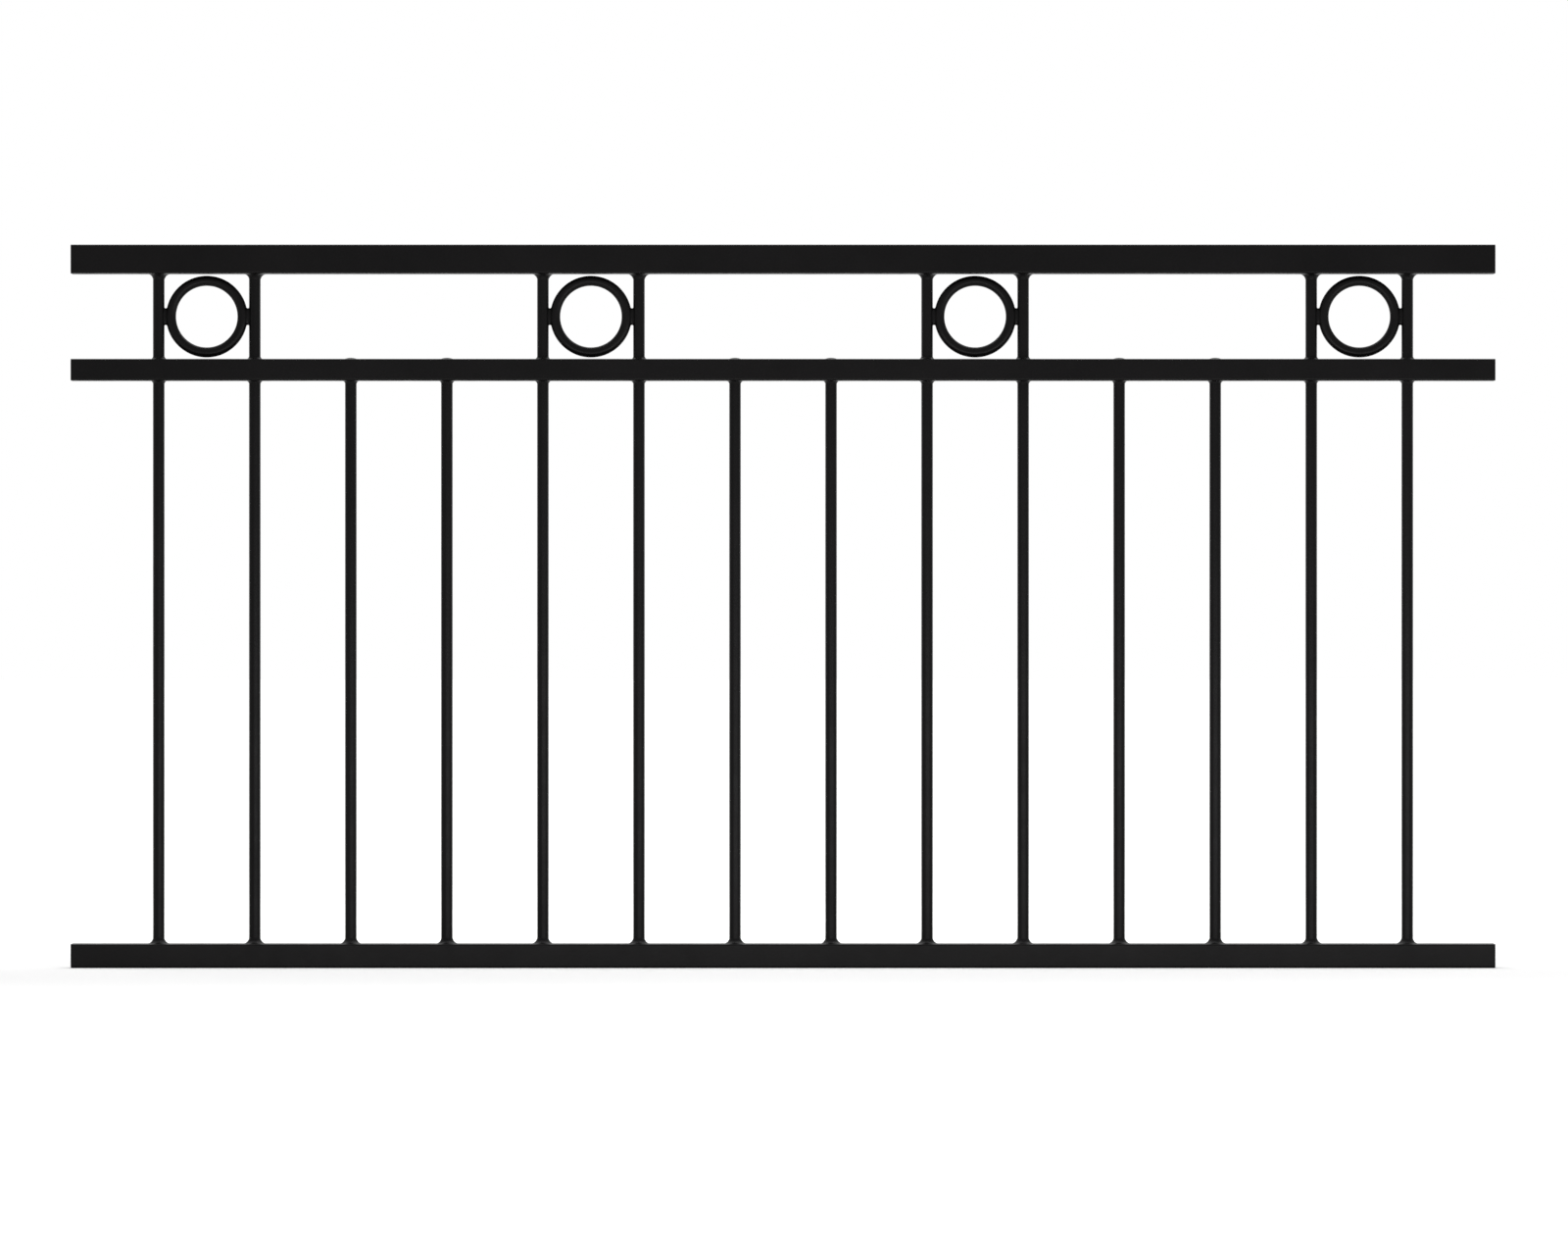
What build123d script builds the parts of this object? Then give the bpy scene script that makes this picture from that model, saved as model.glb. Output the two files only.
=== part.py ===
from build123d import *
import math
import os

# Welded aluminium fence panel: three box-section rails, round upright bars at one pitch, and a
# ring between the two bars of each pair that runs on up to the top rail.
# X runs along the panel from the left ends of the rails, Y through its thickness with 0 at
# mid-depth, and Z up from the underside of the bottom rail. All sizes are in millimetres.

# Overall size
panel_length = 1970.0
panel_height = 1000.0

# Rails: extruded tube with rounded corners, all of one depth so that one bracket suits them all
rail_depth = 40.0
rail_wall = 2.0
rail_corner_radius = 3.0
top_rail_height = 40.0
middle_rail_height = 30.0
bottom_rail_height = 33.0
upper_bay_height = 118.0  # clear height between the middle rail and the top rail

# Bars: round tube that goes into the rails through punched holes
bar_diameter = 16.0
bar_wall = 1.5
bar_pitch = 133.0
bar_insertion = 12.0  # how far a bar reaches into the top rail and the bottom rail
hole_clearance = 0.3  # radial play of a bar in a punched hole
bars_per_repeat = 4  # from the first bar of one ring bay to the first bar of the next

# Rings: round rod, bent and joined, with a saddle block each side that holds it to the bars
ring_rod_diameter = 14.0
ring_gap = 2.0  # least daylight between a ring and the rails and bars round it
lug_height = 26.0  # over the toes that run out on the bar and on the ring
lug_depth = 10.0
lug_height_dip = 1.4  # how far the upper and lower edges dip between those toes
lug_depth_dip = 1.5  # the same for the front and back
lug_toe = 0.6  # how far a toe's outline runs on into the bar and the ring, which cut it to a thin edge

# Weld beads, with a hollow face from toe to toe, and low caps over the ends of the short bars
end_weld_leg = 7.0  # on the top rail and the bottom rail
middle_weld_leg = 3.5  # above and below the middle rail
weld_hollow = 0.16  # dip of the bead's face, as a share of its leg each way
cap_overlap = 1.2  # how far a cap reaches past the bar that it closes
cap_rise = 2.0

# Places worked out from the sizes above
bar_radius = bar_diameter / 2
hole_radius = bar_radius + hole_clearance
bar_count = math.floor(panel_length / bar_pitch)
first_bar_x = (panel_length - (bar_count - 1) * bar_pitch) / 2
bar_x = [first_bar_x + i * bar_pitch for i in range(bar_count)]

bottom_rail_top = bottom_rail_height
top_rail_underside = panel_height - top_rail_height
middle_rail_top = top_rail_underside - upper_bay_height
middle_rail_underside = middle_rail_top - middle_rail_height

every_bar = range(bar_count)
ring_bays = range(0, bar_count - 1, bars_per_repeat)  # the left bar of each pair
tall_bars = [i for left in ring_bays for i in (left, left + 1)]
short_bars = [i for i in every_bar if i not in tall_bars]

ring_outer_diameter = min(upper_bay_height, bar_pitch - bar_diameter) - 2 * ring_gap
ring_rod_radius = ring_rod_diameter / 2
ring_mid_radius = ring_outer_diameter / 2 - ring_rod_radius
ring_z = middle_rail_top + upper_bay_height / 2


def upright(i, radius, low, high):
    """A solid round rod on the line of bar i, from low to high."""
    return Pos(bar_x[i], 0, low) * Cylinder(radius, high - low, align=(Align.CENTER, Align.CENTER, Align.MIN))


def rail(underside, height):
    """A plain length of rounded box tube along X."""
    hollow_radius = max(rail_corner_radius - rail_wall, rail_wall / 4)
    left_end = Plane(origin=(0, 0, underside + height / 2), x_dir=(0, 1, 0), z_dir=(1, 0, 0))
    outline = RectangleRounded(rail_depth, height, rail_corner_radius)
    hollow = RectangleRounded(rail_depth - 2 * rail_wall, height - 2 * rail_wall, hollow_radius)
    return extrude(left_end * (outline - hollow), panel_length)


def punched(tube, bars, low, high):
    """The tube with a round hole for each of those bars, in every wall between low and high."""
    return tube - [upright(i, hole_radius, low, high) for i in bars]


def bar(i):
    """One upright tube. Ring bays have theirs up to the top rail, other bars end on the middle rail."""
    low = bottom_rail_top - bar_insertion
    high = top_rail_underside + bar_insertion if i in tall_bars else middle_rail_top
    return upright(i, bar_radius, low, high) - upright(i, bar_radius - bar_wall, low, high)


def ring_x(left):
    """Middle of the gap to the right of bar left."""
    return (bar_x[left] + bar_x[left + 1]) / 2


def ring(left):
    """A round rod bent to a ring that stands in the plane of the panel."""
    return Pos(ring_x(left), 0, ring_z) * Rot(90, 0, 0) * Torus(ring_mid_radius, ring_rod_radius)


def toe(radius, offset):
    """Distance from the middle of a round section to a lug's toe, at that offset from the middle."""
    return math.sqrt(radius**2 - offset**2) - lug_toe


def waisted(bar_line, bar_toe, ring_toe, rod_line, half, dip):
    """Face from the line of a bar to the line of a ring's rod, with edges that dip between the toes."""
    waist = (bar_toe + ring_toe) / 2
    upper = ThreePointArc((bar_toe, half), (waist, half - dip), (ring_toe, half))
    lower = ThreePointArc((ring_toe, -half), (waist, dip - half), (bar_toe, -half))
    in_ring = Polyline((ring_toe, half), (rod_line, half), (rod_line, -half), (ring_toe, -half))
    in_bar = Polyline((bar_toe, -half), (bar_line, -half), (bar_line, half), (bar_toe, half))
    return make_face([upper, in_ring, lower, in_bar])


def lug(left, side):
    """Saddle block between a ring and the bar to its left (side -1) or right (side 1)."""
    holder = left if side < 0 else left + 1
    bar_line = bar_x[holder]
    rod_line = ring_x(left) + side * ring_mid_radius
    half_height, half_depth = lug_height / 2, lug_depth / 2
    front = Plane(origin=(0, 0, ring_z), x_dir=(1, 0, 0), z_dir=(0, -1, 0)) * waisted(
        bar_line, bar_line - side * toe(bar_radius, 0),
        ring_x(left) + side * toe(ring_outer_diameter / 2, half_height), rod_line,
        half_height, lug_height_dip,
    )
    plan = Plane(origin=(0, 0, ring_z)) * waisted(
        bar_line, bar_line - side * toe(bar_radius, half_depth),
        rod_line + side * toe(ring_rod_radius, half_depth), rod_line,
        half_depth, lug_depth_dip,
    )
    block = extrude(front, half_depth, both=True) & extrude(plan, half_height, both=True)
    return block - upright(holder, bar_radius, ring_z - half_height, ring_z + half_height) - ring(left)


def turned(outline):
    """A closed outline in X and Z, turned about Z into a solid."""
    return revolve(Plane.XZ * make_face(outline), Axis.Z)


def weld_bead(leg):
    """Bead round a bar that stands on a face at Z 0, its face hollow between two thin toes."""
    dip = leg * (0.5 - weld_hollow)
    corner, on_rail, on_bar = (bar_radius, 0), (bar_radius + leg, 0), (bar_radius, leg)
    hollow_face = ThreePointArc(on_rail, (bar_radius + dip, dip), on_bar)
    return turned([Line(on_bar, corner), Line(corner, on_rail), hollow_face])


def weld_cap():
    """Low dome over the end of a bar that comes up flush with a face at Z 0."""
    rim, middle, crown = (bar_radius + cap_overlap, 0), (0, 0), (0, cap_rise)
    dome = TangentArc(crown, rim, tangent=(1, 0))
    return turned([dome, Line(rim, middle), Line(middle, crown)])


def along(bars, shape, z, under=False):
    """Copies of a weld on the lines of those bars, on the face at z or hung under it."""
    turn = Rot(180, 0, 0) if under else Rot(0, 0, 0)
    return Compound(children=[Pos(bar_x[i], 0, z) * turn * shape for i in bars])


# The nodes
nodes = {}
nodes["top_rail"] = punched(
    rail(top_rail_underside, top_rail_height),
    tall_bars, top_rail_underside - rail_wall, top_rail_underside + top_rail_height / 2,
)
nodes["middle_rail"] = punched(
    rail(middle_rail_underside, middle_rail_height),
    every_bar, middle_rail_underside - rail_wall, middle_rail_top + rail_wall,
)
nodes["bottom_rail"] = punched(
    rail(0, bottom_rail_height),
    every_bar, bottom_rail_height / 2, bottom_rail_top + rail_wall,
)
for i in every_bar:
    nodes[f"bar_{i + 1:02d}"] = bar(i)
for number, left in enumerate(ring_bays, start=1):
    nodes[f"ring_{number}"] = ring(left)
    nodes[f"ring_{number}_left_lug"] = lug(left, -1)
    nodes[f"ring_{number}_right_lug"] = lug(left, 1)
nodes["bottom_rail_welds"] = along(every_bar, weld_bead(end_weld_leg), bottom_rail_top)
nodes["middle_rail_lower_welds"] = along(
    every_bar, weld_bead(middle_weld_leg), middle_rail_underside, under=True,
)
nodes["middle_rail_upper_welds"] = along(tall_bars, weld_bead(middle_weld_leg), middle_rail_top)
for i in short_bars:
    nodes[f"bar_{i + 1:02d}_weld_cap"] = Pos(bar_x[i], 0, middle_rail_top) * weld_cap()
nodes["top_rail_welds"] = along(tall_bars, weld_bead(end_weld_leg), top_rail_underside, under=True)

os.makedirs("parts", exist_ok=True)
for name, shape in nodes.items():
    export_step(shape, f"parts/{name}.step")
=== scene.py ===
"""Looks of a welded fence panel: satin black powder coat on its rails, bars, rings and welds.

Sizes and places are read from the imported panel, in metres. X runs along the rails, Y through the
panel's depth and Z up. Round it stands a plain white studio, with the camera square to the panel.
"""
import math
import random

import bmesh
import bpy
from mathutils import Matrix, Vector


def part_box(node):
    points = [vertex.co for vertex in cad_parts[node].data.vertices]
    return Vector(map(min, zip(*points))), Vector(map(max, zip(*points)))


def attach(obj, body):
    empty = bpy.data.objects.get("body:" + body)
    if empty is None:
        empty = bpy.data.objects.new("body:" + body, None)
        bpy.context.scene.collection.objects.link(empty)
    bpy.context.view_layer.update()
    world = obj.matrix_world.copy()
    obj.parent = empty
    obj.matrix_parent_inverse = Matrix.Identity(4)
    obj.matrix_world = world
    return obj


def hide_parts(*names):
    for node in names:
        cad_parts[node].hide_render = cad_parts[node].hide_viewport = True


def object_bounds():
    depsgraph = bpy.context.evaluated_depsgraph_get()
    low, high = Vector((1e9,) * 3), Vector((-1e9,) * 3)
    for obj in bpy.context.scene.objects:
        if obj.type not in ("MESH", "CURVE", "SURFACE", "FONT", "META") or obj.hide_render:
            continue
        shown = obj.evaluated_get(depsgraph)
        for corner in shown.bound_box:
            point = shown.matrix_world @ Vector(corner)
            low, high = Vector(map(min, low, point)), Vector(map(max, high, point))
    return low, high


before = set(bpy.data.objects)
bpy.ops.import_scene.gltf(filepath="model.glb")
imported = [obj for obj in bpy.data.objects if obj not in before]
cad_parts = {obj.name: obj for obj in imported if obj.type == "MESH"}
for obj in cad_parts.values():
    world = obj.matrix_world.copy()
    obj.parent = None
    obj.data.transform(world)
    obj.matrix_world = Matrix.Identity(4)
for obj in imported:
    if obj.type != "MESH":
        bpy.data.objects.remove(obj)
cad_low, cad_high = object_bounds()

MM = 0.001
BODY = "root"

# Where the panel's edges lie in the photograph, in pixels
PHOTO_WIDTH, PHOTO_HEIGHT = 1600, 1269
PANEL_LEFT, PANEL_RIGHT = 72.0, 1526.0
PANEL_TOP, PANEL_BOTTOM = 249.2, 987.7

# Sizes that the boxes of the nodes don't give
RAIL_WALL = 2.0 * MM
RAIL_CORNER = 3.0 * MM
RAIL_DEBURR = 0.35 * MM  # edge broken off at a sawn rail end
BAR_WALL = 1.5 * MM
HOLE_PLAY = 0.3 * MM
LUG_HEIGHT_DIP = 1.4 * MM
LUG_DEPTH_DIP = 1.5 * MM

# How finely the round parts of tubes and rings are divided
RAIL_CORNER_STEPS = 8
RAIL_DEBURR_STEPS = 2
BAR_CORNER_STEPS = 16  # in each quarter of the way round
HOLE_SIDES = 48
RING_STEPS = 160
ROD_STEPS = 40

# Of each four bars the first two run on up to the top rail, and the others end on the middle rail.
# A group of them is given by its first and last place among the four
BARS_PER_REPEAT = 4
TALL_BARS = (0, 1)
SHORT_BARS = (2, 3)
EVERY_BAR = (0, 3)


# Sizes read from the frame

def middle(node):
    """Centre of a node's box."""
    low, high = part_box(node)
    return (low + high) / 2


def size(node):
    """Length of a node's box along X, Y and Z."""
    low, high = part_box(node)
    return high - low


def numbered(stem):
    """Nodes that are named with that stem and a number."""
    return sorted(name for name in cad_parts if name.startswith(stem) and name[len(stem):].isdigit())


bar_nodes = numbered("bar_")
ring_nodes = numbered("ring_")
cap_nodes = sorted(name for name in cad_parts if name.endswith("_weld_cap"))

panel_middle = (cad_low + cad_high) / 2
panel_length = cad_high.x - cad_low.x
bar_radius = size(bar_nodes[0]).x / 2
first_bar = middle(bar_nodes[0]).x
bar_pitch = middle(bar_nodes[1]).x - first_bar
rod_radius = size(ring_nodes[0]).y / 2
ring_mid_radius = size(ring_nodes[0]).x / 2 - rod_radius


# Node trees

class Nodes:
    """A node tree in the making: each call adds one node and gives one of its outputs."""

    def __init__(self, tree):
        self.tree = tree

    def add(self, kind, inputs=None, output=0, **settings):
        """A node with those settings. Inputs, by name or place, take sockets, values or lists of sockets."""
        node = self.tree.nodes.new(kind)
        for label, value in settings.items():
            setattr(node, label, value)
        for place, value in (inputs or {}).items():
            for source in value if isinstance(value, list) else [value]:
                if isinstance(source, bpy.types.NodeSocket):
                    self.tree.links.new(source, node.inputs[place])
                else:
                    node.inputs[place].default_value = source
        return node.outputs[output] if len(node.outputs) else None

    def math(self, operation, first, second=0.0):
        """One step of arithmetic."""
        return self.add("ShaderNodeMath", {0: first, 1: second}, operation=operation)

    def to_the_eye(self):
        """1 for rays that the eye sees, straight or in gloss or glass, and 0 for those that only light."""
        path = self.add("ShaderNodeLightPath").node.outputs
        in_gloss_or_glass = self.math("MAXIMUM", path["Is Glossy Ray"], path["Is Transmission Ray"])
        return self.math("MAXIMUM", path["Is Camera Ray"], in_gloss_or_glass)

    def part(self, vector, axis):
        """One axis of a vector."""
        return self.add("ShaderNodeSeparateXYZ", {0: vector}, output=axis)

    def spread(self, value, low, high, new_low, new_high, kind="LINEAR"):
        """A value taken from one span to another, and held at its ends."""
        return self.add("ShaderNodeMapRange", {
            "Value": value, "From Min": low, "From Max": high, "To Min": new_low, "To Max": new_high,
        }, interpolation_type=kind)


class ShapeTree(Nodes):
    """A Geometry Nodes tree with named inputs."""

    def __init__(self, name, inputs):
        super().__init__(bpy.data.node_groups.new(name, "GeometryNodeTree"))
        self.tree.interface.new_socket("Geometry", in_out="OUTPUT", socket_type="NodeSocketGeometry")
        for label, kind in inputs.items():
            self.tree.interface.new_socket(label, in_out="INPUT", socket_type="NodeSocket" + kind)
        self.entry = self.tree.nodes.new("NodeGroupInput")

    def given(self, label):
        """One of the tree's named inputs."""
        return self.entry.outputs[label]

    def vector(self, x=0.0, y=0.0, z=0.0):
        """Three numbers as one vector."""
        return self.add("ShaderNodeCombineXYZ", {"X": x, "Y": y, "Z": z})

    def end(self, geometry):
        """Makes instances real, gives them the finish that came in, and ends the tree."""
        real = self.add("GeometryNodeRealizeInstances", {"Geometry": geometry})
        coated = self.add("GeometryNodeSetMaterial", {"Geometry": real, "Material": self.given("Finish")})
        self.add("NodeGroupOutput", {"Geometry": coated})
        return self.tree


# Shapes that follow a rule

LEAST_BORE_CORNER = 0.25  # share of the wall
INNER_DEPTH = 0.75  # share of the wall: a face that lies deeper counts as an inner one
SAME_POINT = 0.001 * MM
SAWN_LENGTH = 0.01 * MM  # edges this close to a rail's end count as sawn
TUBE_SHARP_ANGLE = math.radians(35)  # where two faces of a tube turn by more, the shading breaks

STATION_INPUTS = {
    "First bar": "Float", "Pitch": "Float", "Bars": "Int", "From place": "Int", "To place": "Int",
}


def station_values(places):
    """What those inputs are for the bars at these places of each repeat."""
    return {
        "First bar": first_bar, "Pitch": bar_pitch, "Bars": len(bar_nodes),
        "From place": places[0], "To place": places[1],
    }


def bar_stations(tree, height):
    """Points on the bars' lines at that height, and which of them lie between the two places."""
    line = tree.add("GeometryNodeMeshLine", {
        "Count": tree.given("Bars"),
        "Start Location": tree.vector(tree.given("First bar"), 0.0, height),
        "Offset": tree.vector(tree.given("Pitch")),
    })
    place = tree.math("MODULO", tree.add("GeometryNodeInputIndex"), BARS_PER_REPEAT)
    late_enough = tree.math("GREATER_THAN", place, tree.math("SUBTRACT", tree.given("From place"), 0.5))
    early_enough = tree.math("LESS_THAN", place, tree.math("ADD", tree.given("To place"), 0.5))
    return line, tree.math("MULTIPLY", late_enough, early_enough)


def hollow_section(tree, width, depth, corner, length):
    """A tube of rounded section with closed end faces, up Z from the origin."""
    wall = tree.given("Wall")

    def loop(inset):
        twice = tree.math("MULTIPLY", inset, 2.0)
        square = tree.add("GeometryNodeCurvePrimitiveQuadrilateral", {
            "Width": tree.math("SUBTRACT", width, twice), "Height": tree.math("SUBTRACT", depth, twice),
        })
        least = tree.math("MULTIPLY", wall, LEAST_BORE_CORNER)
        return tree.add("GeometryNodeFilletCurve", {
            "Curve": square, "Count": tree.given("Corner steps"), "Limit Radius": True,
            "Radius": tree.math("MAXIMUM", tree.math("SUBTRACT", corner, inset), least),
        }, mode="POLY")

    outline_and_bore = tree.add("GeometryNodeJoinGeometry", {"Geometry": [loop(wall), loop(0.0)]})
    foot = tree.add("GeometryNodeFillCurve", {"Curve": outline_and_bore}, mode="NGONS")
    walls_and_head = tree.add("GeometryNodeExtrudeMesh", {
        "Mesh": foot, "Offset": (0.0, 0.0, 1.0), "Offset Scale": length, "Individual": False,
    })
    turned_foot = tree.add("GeometryNodeFlipFaces", {"Mesh": foot})
    whole = tree.add("GeometryNodeJoinGeometry", {"Geometry": [turned_foot, walls_and_head]})
    return tree.add("GeometryNodeMergeByDistance", {"Geometry": whole, "Distance": SAME_POINT})


def smooth_but_for_edges(tree, mesh):
    """Smooth shading that breaks at the sharp edges."""
    soft = tree.math("LESS_THAN", tree.add("GeometryNodeInputMeshEdgeAngle"), TUBE_SHARP_ANGLE)
    rounded = tree.add("GeometryNodeSetShadeSmooth", {"Geometry": mesh, "Shade Smooth": True}, domain="FACE")
    return tree.add("GeometryNodeSetShadeSmooth", {"Geometry": rounded, "Shade Smooth": soft}, domain="EDGE")


def rail_tree():
    """Box-section rail along X, punched for each bar that enters it."""
    tree = ShapeTree("box_rail", {
        "Length": "Float", "Depth": "Float", "Height": "Float", "Underside": "Float", "Wall": "Float",
        "Corner": "Float", "Corner steps": "Int", "Hole radius": "Float", "Hole low": "Float",
        "Hole high": "Float", **STATION_INPUTS, "Finish": "Material",
    })
    height, depth = tree.given("Height"), tree.given("Depth")
    axis = tree.math("ADD", tree.given("Underside"), tree.math("MULTIPLY", height, 0.5))
    standing = hollow_section(tree, height, depth, tree.given("Corner"), tree.given("Length"))
    lying = tree.add("GeometryNodeTransform", {
        "Geometry": standing, "Translation": tree.vector(z=axis), "Rotation": (0.0, math.pi / 2, 0.0),
    })
    low, high = tree.given("Hole low"), tree.given("Hole high")
    punch = tree.add("GeometryNodeMeshCylinder", {
        "Vertices": HOLE_SIDES, "Radius": tree.given("Hole radius"),
        "Depth": tree.math("SUBTRACT", high, low),
    })
    line, chosen = bar_stations(tree, tree.math("MULTIPLY", tree.math("ADD", low, high), 0.5))
    punches = tree.add("GeometryNodeInstanceOnPoints", {
        "Points": line, "Selection": chosen, "Instance": punch,
    })
    punched = tree.add("GeometryNodeMeshBoolean", {"Mesh 1": lying, "Mesh 2": punches},
                       operation="DIFFERENCE", solver="MANIFOLD")
    inside = tree.add("GeometryNodeStoreNamedAttribute", {
        "Geometry": punched, "Name": "inside", "Value": inner_wall(tree, axis),
    }, data_type="FLOAT", domain="FACE")
    broken = tree.add("GeometryNodeStoreNamedAttribute", {
        "Geometry": inside, "Name": "bevel_weight_edge", "Value": sawn_edge(tree),
    }, data_type="FLOAT", domain="EDGE")
    return tree.end(smooth_but_for_edges(tree, broken))


def inner_wall(tree, axis):
    """1 on a rail's inner faces and 0 on the rest, told by how far in a face's middle lies."""
    where = tree.add("GeometryNodeInputPosition")
    skin = tree.math("MULTIPLY", tree.given("Wall"), INNER_DEPTH)

    def within(offset, whole):
        half = tree.math("MULTIPLY", whole, 0.5)
        return tree.math("LESS_THAN", tree.math("ABSOLUTE", offset), tree.math("SUBTRACT", half, skin))

    in_depth = within(tree.part(where, "Y"), tree.given("Depth"))
    in_height = within(tree.math("SUBTRACT", tree.part(where, "Z"), axis), tree.given("Height"))
    return tree.math("MULTIPLY", in_depth, in_height)


def sawn_edge(tree):
    """1 on the edges round a rail's two sawn ends."""
    half_length = tree.math("MULTIPLY", tree.given("Length"), 0.5)
    along = tree.part(tree.add("GeometryNodeInputPosition"), "X")
    off_middle = tree.math("ABSOLUTE", tree.math("SUBTRACT", along, half_length))
    return tree.math("GREATER_THAN", off_middle, tree.math("SUBTRACT", half_length, SAWN_LENGTH))


def bar_tree():
    """Round tube that stands between two heights."""
    tree = ShapeTree("round_bar", {
        "Place": "Float", "Low": "Float", "High": "Float", "Diameter": "Float", "Wall": "Float",
        "Corner steps": "Int", "Finish": "Material",
    })
    diameter = tree.given("Diameter")
    length = tree.math("SUBTRACT", tree.given("High"), tree.given("Low"))
    tube = hollow_section(tree, diameter, diameter, tree.math("MULTIPLY", diameter, 0.5), length)
    placed = tree.add("GeometryNodeTransform", {
        "Geometry": tube, "Translation": tree.vector(tree.given("Place"), 0.0, tree.given("Low")),
    })
    return tree.end(smooth_but_for_edges(tree, placed))


def ring_tree():
    """Round rod bent to a ring that stands in the plane of the panel."""
    tree = ShapeTree("bent_ring", {
        "Centre": "Vector", "Middle radius": "Float", "Rod radius": "Float", "Steps round": "Int",
        "Rod steps": "Int", "Finish": "Material",
    })

    def circle(steps, radius):
        return tree.add("GeometryNodeCurvePrimitiveCircle", {
            "Resolution": tree.given(steps), "Radius": tree.given(radius),
        })

    lying = tree.add("GeometryNodeCurveToMesh", {
        "Curve": circle("Steps round", "Middle radius"), "Profile Curve": circle("Rod steps", "Rod radius"),
    })
    standing = tree.add("GeometryNodeTransform", {
        "Geometry": lying, "Translation": tree.given("Centre"), "Rotation": (math.pi / 2, 0.0, 0.0),
    })
    return tree.end(tree.add("GeometryNodeSetShadeSmooth", {"Geometry": standing, "Shade Smooth": True}))


def weld_row_tree():
    """The weld that comes in, repeated on the bars' lines and turned anew on each."""
    tree = ShapeTree("weld_row", {
        "Weld": "Geometry", "Face height": "Float", "Seed": "Int", **STATION_INPUTS, "Finish": "Material",
    })
    line, chosen = bar_stations(tree, tree.given("Face height"))
    turn = tree.add("FunctionNodeRandomValue", {
        "Min": (0.0, 0.0, 0.0), "Max": (0.0, 0.0, 2 * math.pi), "Seed": tree.given("Seed"),
    }, data_type="FLOAT_VECTOR")
    row = tree.add("GeometryNodeInstanceOnPoints", {
        "Points": line, "Selection": chosen, "Instance": tree.given("Weld"),
        "Rotation": tree.add("FunctionNodeEulerToRotation", {"Euler": turn}),
    })
    return tree.end(row)


# Meshes for welds and lugs

WELD_SHARP_ANGLE = math.radians(60)  # where two faces of a weld or lug turn by more, the shading breaks


def lofted(name, rows, capped):
    """Closed smooth mesh through rings of points, with capped ends or with the last joined to the first."""
    shape = bmesh.new()
    rings = [[shape.verts.new(point) for point in row] for row in rows]
    pairs = list(zip(rings, rings[1:]))
    if capped:
        shape.faces.new(rings[0])
        shape.faces.new(rings[-1])
    else:
        pairs.append((rings[-1], rings[0]))
    for ring, following in pairs:
        for i, corner in enumerate(ring):
            shape.faces.new((ring[i - 1], corner, following[i], following[i - 1]))
    bmesh.ops.recalc_face_normals(shape, faces=shape.faces)
    for face in shape.faces:
        face.smooth = True
    for edge in shape.edges:
        edge.smooth = edge.calc_face_angle() < WELD_SHARP_ANGLE
    mesh = bpy.data.meshes.new(name)
    shape.to_mesh(mesh)
    shape.free()
    return mesh


def circle_angles(steps):
    """Even angles round a circle."""
    return [2 * math.pi * i / steps for i in range(steps)]


WELD_SINK = 0.3 * MM  # how far a weld's hidden faces lie in the metal that it joins
WELD_HOLLOW = 0.16  # dip of a bead's face, as a share of its leg each way
BEAD_WANDER = 0.06  # how much a bead's size changes on its way round
BEAD_WAVES = 3  # in that change
BEAD_ROW_PITCH = 0.4 * MM
BEAD_LEAST_ROWS = 10

# Ripples of a bead. Their pitch is the least one plus a share of the bead's leg, and their height,
# bow and bulge are shares of that leg too
RIPPLE_PITCH_LEAST = 1.2 * MM
RIPPLE_PITCH_SHARE = 0.18
RIPPLE_HEIGHT = 0.06
RIPPLE_BOW = 0.6  # how far a ripple's middle runs ahead of its ends
TOE_BULGE = 0.045  # how far each ripple pushes out the bead's toes
RIPPLE_SIZES = 0.6, 1.0  # least and largest, as shares of the full height
RIPPLE_SLANT = 0.7  # below 1, a ripple rises faster than it falls
RIPPLE_STEPS = 8


def bead_face(rows):
    """Across a bead's hollow face from rail to bar: share of the way, place in legs, and facing."""
    dip = 0.5 - WELD_HOLLOW
    centre = (1 - 2 * dip**2) / (2 - 4 * dip)
    radius = math.sqrt(2) * (centre - dip)
    half_sweep = math.atan2(centre, centre - 1) - math.pi / 4
    for i in range(rows):
        share = i / (rows - 1)
        angle = math.pi / 4 + half_sweep * (1 - 2 * share)
        facing = (math.cos(angle), math.sin(angle))
        yield share, centre - radius * facing[0], centre - radius * facing[1], facing


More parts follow.
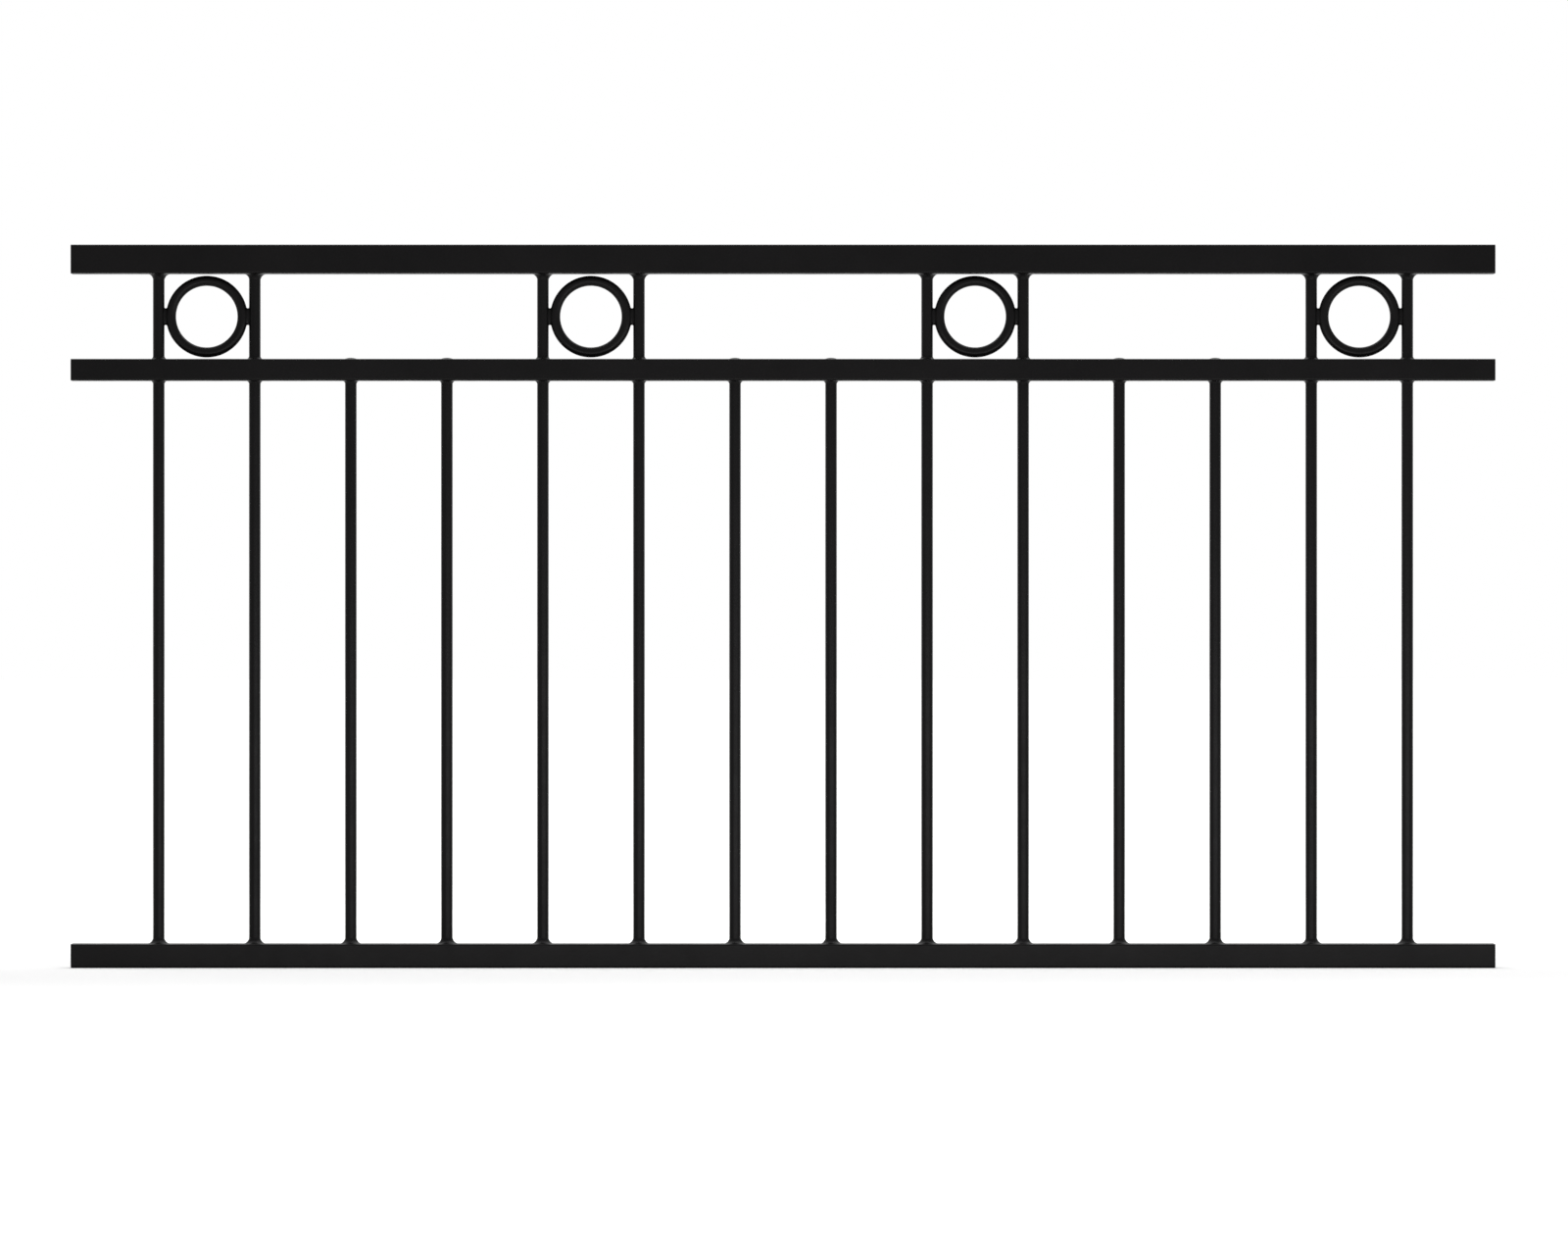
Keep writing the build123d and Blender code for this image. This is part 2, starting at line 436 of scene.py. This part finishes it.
def weld_bead(name, leg, below, seed):
    """One rippled bead round a bar, on a face at Z 0 or hung below it."""
    chance = random.Random(seed)
    pitch = RIPPLE_PITCH_LEAST + RIPPLE_PITCH_SHARE * leg
    ripples = round(2 * math.pi * (bar_radius + leg / 2) / pitch)
    ripple_sizes = [chance.uniform(*RIPPLE_SIZES) for _ in range(ripples)]
    wander_starts = [chance.uniform(0, 2 * math.pi) for _ in range(BEAD_WAVES)]
    side = -1 if below else 1

    def ripple(angle, share):
        place = ripples * angle / (2 * math.pi) + RIPPLE_BOW * leg / pitch * (2 * share - 1) ** 2
        number = math.floor(place)
        return ripple_sizes[number % ripples] * math.sin(math.pi * (place - number) ** RIPPLE_SLANT)

    def reach(angle, share):
        waves = [math.sin(count * angle + start) / count for count, start in enumerate(wander_starts, 1)]
        bulge = TOE_BULGE * ripple(angle, share) * (2 * share - 1) ** 2
        return leg * (1 + BEAD_WANDER * sum(waves) + bulge)

    def point(angle, out, up):
        radius = bar_radius + out
        return (radius * math.cos(angle), radius * math.sin(angle), side * up)

    angles = circle_angles(ripples * RIPPLE_STEPS)
    rows = [
        [point(a, -WELD_SINK, -WELD_SINK) for a in angles],
        [point(a, reach(a, 0), -WELD_SINK) for a in angles],
    ]
    for share, out, up, facing in bead_face(max(BEAD_LEAST_ROWS, round(leg / BEAD_ROW_PITCH))):
        row = []
        for a in angles:
            spread = reach(a, share)
            rise = RIPPLE_HEIGHT * leg * ripple(a, share) * (1 - (2 * share - 1) ** 4)
            row.append(point(a, spread * out + rise * facing[0], spread * up + rise * facing[1]))
        rows.append(row)
    rows.append([point(a, -WELD_SINK, reach(a, 1)) for a in angles])
    return lofted(name, rows, capped=False)


CAP_ROWS = 22
CAP_STEPS = 72
CAP_RIPPLE_PITCH = 2.5 * MM
CAP_RIPPLE = 0.2 * MM  # height of a ripple


def weld_cap(name, radius, rise):
    """Low dome over a bar's end, with the ripples of a weld that was run in to the middle."""
    sphere = (radius**2 + rise**2) / (2 * rise)
    angles = circle_angles(CAP_STEPS)
    rows = [[(radius * math.cos(a), radius * math.sin(a), -WELD_SINK) for a in angles]]
    for i in range(CAP_ROWS):
        share = i / CAP_ROWS
        out = radius * (1 - share)
        dome = math.sqrt(sphere**2 - out**2) - (sphere - rise)
        fade = math.sin(math.pi * share)
        row = []
        for a in angles:
            turns = out / CAP_RIPPLE_PITCH + a / (2 * math.pi)
            ripple = CAP_RIPPLE * fade * abs(math.sin(math.pi * turns))
            row.append((out * math.cos(a), out * math.sin(a), dome + ripple - CAP_RIPPLE * fade * share))
        rows.append(row)
    return lofted(name, rows, capped=True)


LUG_ROWS = 33
LUG_STEPS = 64
LUG_SQUARENESS = 2.8  # 2 would make a lug's section an ellipse, and more makes it squarer


def lug_saddle(name, bar_line, ring_centre, side, half_height, half_depth):
    """Waisted block between a ring and the bar beside it, spread out over both like a weld."""
    waist_height, waist_depth = half_height - LUG_HEIGHT_DIP, half_depth - LUG_DEPTH_DIP

    def rounded(value):
        return math.copysign(abs(value) ** (2 / LUG_SQUARENESS), value)

    rows = []
    for i in range(LUG_ROWS):
        lean = math.pi * (i / (LUG_ROWS - 1) - 0.5)
        share, flare = (1 + math.sin(lean)) / 2, 1 - math.cos(lean)
        sink = WELD_SINK * math.sin(lean) if i in (0, LUG_ROWS - 1) else 0.0
        row = []
        for a in circle_angles(LUG_STEPS):
            y = rounded(math.cos(a)) * (waist_depth + LUG_DEPTH_DIP * flare)
            z = rounded(math.sin(a)) * (waist_height + LUG_HEIGHT_DIP * flare)
            on_bar = bar_line - side * math.sqrt(bar_radius**2 - y**2)
            ring_edge = ring_mid_radius + math.sqrt(rod_radius**2 - y**2)
            on_ring = ring_centre.x + side * math.sqrt(ring_edge**2 - z**2)
            row.append((on_bar + (on_ring - on_bar) * share - side * sink, y, ring_centre.z + z))
        rows.append(row)
    return lofted(name, rows, capped=True)


# Finishes

# How a pattern is stretched along X, Y and Z: a small number draws it out
EVEN = (1.0, 1.0, 1.0)
DRAWN_ALONG_X = (0.02, 1.0, 1.0)
DRAWN_ALONG_Z = (1.0, 1.0, 0.02)


class Finish(Nodes):
    """A material in the making. Its patterns lie on object coordinates."""

    def __init__(self, name):
        self.material = bpy.data.materials.new(name)
        self.material.use_nodes = True
        super().__init__(self.material.node_tree)
        self.tree.nodes.clear()
        self.place = self.add("ShaderNodeTexCoord", output="Object")

    def noise(self, scale, stretch=EVEN, detail=2.0):
        """Cloudy pattern of so many spots to the metre."""
        mapped = self.add("ShaderNodeMapping", {"Vector": self.place, "Scale": stretch})
        return self.add("ShaderNodeTexNoise", {"Vector": mapped, "Scale": scale, "Detail": detail})

    def blend(self, share, first, second):
        """Between two colours."""
        return self.add("ShaderNodeMix", {0: share, 6: first, 7: second}, output=2, data_type="RGBA")

    def end(self, shader):
        """Puts the shader on the surface and ends the material."""
        self.add("ShaderNodeOutputMaterial", {"Surface": shader})
        return self.material


COAT_DEEP = (0.0042, 0.0038, 0.0040, 1.0)
COAT_PALE = (0.0066, 0.0060, 0.0063, 1.0)
BARE_ALUMINIUM = (0.56, 0.57, 0.58, 1.0)
COAT_SHINE = 0.08
COAT_ROUGHNESS = 0.28, 0.38
BARE_ROUGHER = 0.12  # how much rougher bare metal is than the coat
OVERSPRAY_START, OVERSPRAY_END = 15 * MM, 80 * MM  # how far down an open rail end the coat thins out
OVERSPRAY_DRIFT = 20 * MM  # how far that shifts either way from place to place

# Patterns of the coat, in spots to the metre, and the spans of two of them that are used
CLOUD_SCALE, CLOUD_SPAN = 9.0, (0.35, 0.65)
SHEEN_SCALE, SHEEN_SPAN = 38.0, (0.3, 0.7)
OVERSPRAY_SCALE = 60.0
PEEL_SCALE = 480.0
LINE_SCALE = 700.0
GRAIN_SCALE = 2200.0

# Relief of the coat: the orange peel's depth and strength, and lines and grain as shares of it
PEEL_DEPTH = 0.25 * MM
PEEL, WELD_PEEL = 0.3, 0.4
LINE_SHARE = 0.2
GRAIN_SHARE = 0.15


def powder_coat(name, draw_lines=EVEN, peel=PEEL, bare_inside=False):
    """Satin black powder coat: orange peel and fine grain over the faint draw lines of the metal below."""
    finish = Finish(name)
    cloud = finish.spread(finish.noise(CLOUD_SCALE, detail=3.0), *CLOUD_SPAN, 0.0, 1.0)
    colour = finish.blend(cloud, COAT_DEEP, COAT_PALE)
    roughness = finish.spread(finish.noise(SHEEN_SCALE, detail=4.0), *SHEEN_SPAN, *COAT_ROUGHNESS)
    metal = 0.0
    if bare_inside:
        bare = bare_share(finish)
        colour = finish.blend(bare, colour, BARE_ALUMINIUM)
        roughness = finish.math("ADD", roughness, finish.math("MULTIPLY", bare, BARE_ROUGHER))
        metal = bare
    orange_peel = finish.noise(PEEL_SCALE, detail=1.0)
    grain = finish.math("MULTIPLY", finish.noise(GRAIN_SCALE, detail=1.0), GRAIN_SHARE)
    lines = finish.math("MULTIPLY", finish.noise(LINE_SCALE, stretch=draw_lines), LINE_SHARE)
    height = finish.math("ADD", orange_peel, finish.math("ADD", grain, lines))
    bump = finish.add("ShaderNodeBump", {"Height": height, "Strength": peel, "Distance": PEEL_DEPTH})
    return finish.end(finish.add("ShaderNodeBsdfPrincipled", {
        "Base Color": colour, "Roughness": roughness, "Metallic": metal, "Normal": bump,
        "Specular IOR Level": COAT_SHINE,
    }))


def bare_share(finish):
    """How bare the inside of a rail is: coated at the open ends, and thinning out to metal further in."""
    inside = finish.add("ShaderNodeAttribute", output="Fac", attribute_name="inside")
    along = finish.part(finish.place, "X")
    from_end = finish.math("MINIMUM", along, finish.math("SUBTRACT", panel_length, along))
    drift = finish.spread(finish.noise(OVERSPRAY_SCALE), 0.0, 1.0, -OVERSPRAY_DRIFT, OVERSPRAY_DRIFT)
    reach = finish.spread(finish.math("ADD", from_end, drift), OVERSPRAY_START, OVERSPRAY_END, 0.0, 1.0)
    return finish.math("MULTIPLY", inside, reach)


# Pieces

def grown(name, tree, values, mesh=None):
    """An object that the tree makes from those values, and from a mesh where it takes one."""
    piece = bpy.data.objects.new(name, mesh or bpy.data.meshes.new(name))
    bpy.context.scene.collection.objects.link(piece)
    shape = piece.modifiers.new("shape", "NODES")
    shape.node_group = tree
    places = {item.name: item.identifier for item in tree.interface.items_tree if item.in_out == "INPUT"}
    for label, value in values.items():
        shape[places[label]] = value
    return piece


def settle(piece):
    """Makes a piece's modifiers its plain mesh, less the empty material slot that new shapes bring."""
    evaluated = piece.evaluated_get(bpy.context.evaluated_depsgraph_get())
    plain = bpy.data.meshes.new_from_object(evaluated)
    plain.name = piece.name
    if plain.materials[0] is None:
        plain.materials.pop(index=0)
    piece.modifiers.clear()
    piece.data = plain


def stand_for(piece, *nodes):
    """Puts a finished piece on the panel in place of those nodes."""
    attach(piece, BODY)
    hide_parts(*nodes)


def rails():
    """Three box-section rails, open at their sawn ends."""
    tree = rail_tree()
    coat = powder_coat("rail_powder_coat", draw_lines=DRAWN_ALONG_X, bare_inside=True)
    entering = {"top_rail": TALL_BARS, "middle_rail": EVERY_BAR, "bottom_rail": EVERY_BAR}
    for node, places in entering.items():
        low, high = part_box(node)
        rail = grown(node + "_tube", tree, {
            "Length": high.x - low.x, "Depth": high.y - low.y, "Height": high.z - low.z, "Underside": low.z,
            "Wall": RAIL_WALL, "Corner": RAIL_CORNER, "Corner steps": RAIL_CORNER_STEPS,
            "Hole radius": bar_radius + HOLE_PLAY,
            "Hole low": middle(node).z if node == "bottom_rail" else low.z - RAIL_WALL,
            "Hole high": middle(node).z if node == "top_rail" else high.z + RAIL_WALL,
            **station_values(places), "Finish": coat,
        })
        deburr = rail.modifiers.new("deburr", "BEVEL")
        deburr.limit_method = "WEIGHT"
        deburr.width = RAIL_DEBURR
        deburr.segments = RAIL_DEBURR_STEPS
        flats = rail.modifiers.new("flats", "WEIGHTED_NORMAL")
        flats.keep_sharp = True
        settle(rail)
        stand_for(rail, node)


def bars():
    """Fourteen round tubes."""
    tree = bar_tree()
    coat = powder_coat("bar_powder_coat", draw_lines=DRAWN_ALONG_Z)
    for node in bar_nodes:
        low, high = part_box(node)
        bar = grown(node + "_tube", tree, {
            "Place": middle(node).x, "Low": low.z, "High": high.z, "Diameter": high.y - low.y,
            "Wall": BAR_WALL, "Corner steps": BAR_CORNER_STEPS, "Finish": coat,
        })
        settle(bar)
        stand_for(bar, node)


def rings():
    """Four bent rings."""
    tree = ring_tree()
    coat = powder_coat("ring_powder_coat")
    for node in ring_nodes:
        ring = grown(node + "_rod", tree, {
            "Centre": middle(node), "Middle radius": ring_mid_radius, "Rod radius": rod_radius,
            "Steps round": RING_STEPS, "Rod steps": ROD_STEPS, "Finish": coat,
        })
        settle(ring)
        stand_for(ring, node)


def lugs(coat):
    """A saddle each side of each ring, that holds it to the bar there."""
    for ring in ring_nodes:
        for hand, side in (("left", -1), ("right", 1)):
            node = f"{ring}_{hand}_lug"
            low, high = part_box(node)
            bar_line = min((middle(bar).x for bar in bar_nodes), key=lambda x: abs(x - middle(node).x))
            half = (high - low) / 2
            mesh = lug_saddle(node + "_saddle", bar_line, middle(ring), side, half.z, half.y)
            mesh.materials.append(coat)
            lug = bpy.data.objects.new(mesh.name, mesh)
            bpy.context.scene.collection.objects.link(lug)
            stand_for(lug, node)


FIRST_WELD_SEED = 11  # the rows of beads, and then the caps, count on from it


def welds(coat):
    """Beads round the bars on each face that they enter, and caps over the ends of the short bars."""
    tree = weld_row_tree()
    rows = {
        "bottom_rail_welds": (EVERY_BAR, False),
        "middle_rail_lower_welds": (EVERY_BAR, True),
        "middle_rail_upper_welds": (TALL_BARS, False),
        "top_rail_welds": (TALL_BARS, True),
    }
    for seed, (node, (places, below)) in enumerate(rows.items(), start=FIRST_WELD_SEED):
        low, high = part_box(node)
        beads = grown(node.replace("_welds", "_beads"), tree, {
            "Face height": high.z if below else low.z, "Seed": seed, **station_values(places),
            "Finish": coat,
        }, mesh=weld_bead(node + "_bead", high.z - low.z, below, seed))
        settle(beads)
        stand_for(beads, node)
    low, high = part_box(cap_nodes[0])
    caps = grown("short_bar_caps", tree, {
        "Face height": low.z, "Seed": FIRST_WELD_SEED + len(rows), **station_values(SHORT_BARS),
        "Finish": coat,
    }, mesh=weld_cap("short_bar_cap", (high.x - low.x) / 2, high.z - low.z))
    settle(caps)
    stand_for(caps, *cap_nodes)


rails()
bars()
rings()
weld_coat = powder_coat("weld_powder_coat", peel=WELD_PEEL)
lugs(weld_coat)
welds(weld_coat)


# Studio

WHITE = (1.0, 1.0, 1.0, 1.0)
FLOOR_WHITE = (0.8, 0.8, 0.8, 1.0)
FLOOR_SIZE = 120.0
FLOOR_DROP = 0.2 * MM
SHADOW_REACH = 0.3, 2.2  # distances from the panel between which the floor lightens to plain white
SHADOW_LIFT = 0.3  # the floor's own glow up to the first of them


def floor_finish():
    """White floor: the panel's shadow shows close to it, and further off it is plain white to the eye."""
    finish = Finish("white_floor")
    off_middle = finish.math("SUBTRACT", finish.part(finish.place, "X"), panel_middle.x)
    past_end = finish.math("SUBTRACT", finish.math("ABSOLUTE", off_middle), panel_length / 2)
    offset = finish.add("ShaderNodeCombineXYZ", {
        "X": finish.math("MAXIMUM", past_end, 0.0), "Y": finish.part(finish.place, "Y"),
    })
    away = finish.add("ShaderNodeVectorMath", {0: offset}, output="Value", operation="LENGTH")
    lift = finish.spread(away, *SHADOW_REACH, SHADOW_LIFT, 1.0, kind="SMOOTHSTEP")
    glow = finish.add("ShaderNodeEmission", {
        "Color": WHITE, "Strength": finish.math("MULTIPLY", lift, finish.to_the_eye()),
    })
    matt = finish.add("ShaderNodeBsdfDiffuse", {"Color": FLOOR_WHITE})
    return finish.end(finish.add("ShaderNodeAddShader", {0: matt, 1: glow}))


def lay_floor():
    """A wide level floor just under the panel."""
    half = FLOOR_SIZE / 2
    corners = [(-half, -half, -FLOOR_DROP), (half, -half, -FLOOR_DROP),
               (half, half, -FLOOR_DROP), (-half, half, -FLOOR_DROP)]
    mesh = bpy.data.meshes.new("floor")
    mesh.from_pydata(corners, [], [(0, 1, 2, 3)])
    mesh.materials.append(floor_finish())
    floor = bpy.data.objects.new("floor", mesh)
    bpy.context.scene.collection.objects.link(floor)


def softbox(name, place, width, height, watts):
    """A rectangular lamp, placed from the panel's middle and turned towards it."""
    lamp = bpy.data.lights.new(name, "AREA")
    lamp.shape = "RECTANGLE"
    lamp.size, lamp.size_y = width, height
    lamp.energy = watts
    stand = bpy.data.objects.new(name, lamp)
    stand.location = panel_middle + Vector(place)
    stand.rotation_euler = (-Vector(place)).to_track_quat("-Z", "Y").to_euler()
    stand.visible_camera = False
    bpy.context.scene.collection.objects.link(stand)


BACKDROP_GLOW, FRONT_GLOW = 1.0, 0.05
GLOW_SPAN = 0.2, 0.8  # how far back a ray points where the front ends and where the backdrop begins


def white_world():
    """White to the eye. As a light it is as bright behind the panel, and dim in front."""
    world = bpy.data.worlds.new("white_studio")
    world.use_nodes = True
    world.node_tree.nodes.clear()
    sky = Nodes(world.node_tree)
    way_back = sky.part(sky.add("ShaderNodeTexCoord", output="Generated"), "Y")
    glow = sky.spread(way_back, *GLOW_SPAN, FRONT_GLOW, BACKDROP_GLOW, kind="SMOOTHSTEP")
    studio = sky.add("ShaderNodeBackground", {"Color": WHITE, "Strength": glow})
    plain = sky.add("ShaderNodeBackground", {"Color": WHITE, "Strength": 1.0})
    both = sky.add("ShaderNodeMixShader", {0: sky.to_the_eye(), 1: studio, 2: plain})
    sky.add("ShaderNodeOutputWorld", {"Surface": both})
    bpy.context.scene.world = world


CAMERA_LENS, CAMERA_SENSOR = 200, 36  # in millimetres


def place_camera():
    """Square to the panel, far off on a long lens, with the panel where the photograph has it."""
    camera = bpy.data.cameras.new("camera")
    camera.lens, camera.sensor_width = CAMERA_LENS, CAMERA_SENSOR
    camera.clip_end = 2 * FLOOR_SIZE
    pixel = panel_length / (PANEL_RIGHT - PANEL_LEFT)
    distance = PHOTO_WIDTH * pixel * camera.lens / camera.sensor_width
    stand = bpy.data.objects.new("camera", camera)
    stand.location = (
        panel_middle.x + (PHOTO_WIDTH - PANEL_LEFT - PANEL_RIGHT) / 2 * pixel,
        cad_low.y - distance,
        panel_middle.z + (PANEL_TOP + PANEL_BOTTOM - PHOTO_HEIGHT) / 2 * pixel,
    )
    stand.rotation_euler = (math.pi / 2, 0, 0)
    bpy.context.scene.collection.objects.link(stand)
    bpy.context.scene.camera = stand


# Lamps: place from the panel's middle, width, height and watts
LAMPS = {
    "overhead": ((0.0, 0.8, 2.7), 4.5, 3.0, 115),
    "low_front": ((0.4, -1.6, -0.3), 3.0, 0.3, 13),
}

lay_floor()
white_world()
for lamp_name, lamp_values in LAMPS.items():
    softbox(lamp_name, *lamp_values)
place_camera()
bpy.context.scene.view_settings.view_transform = "Standard"
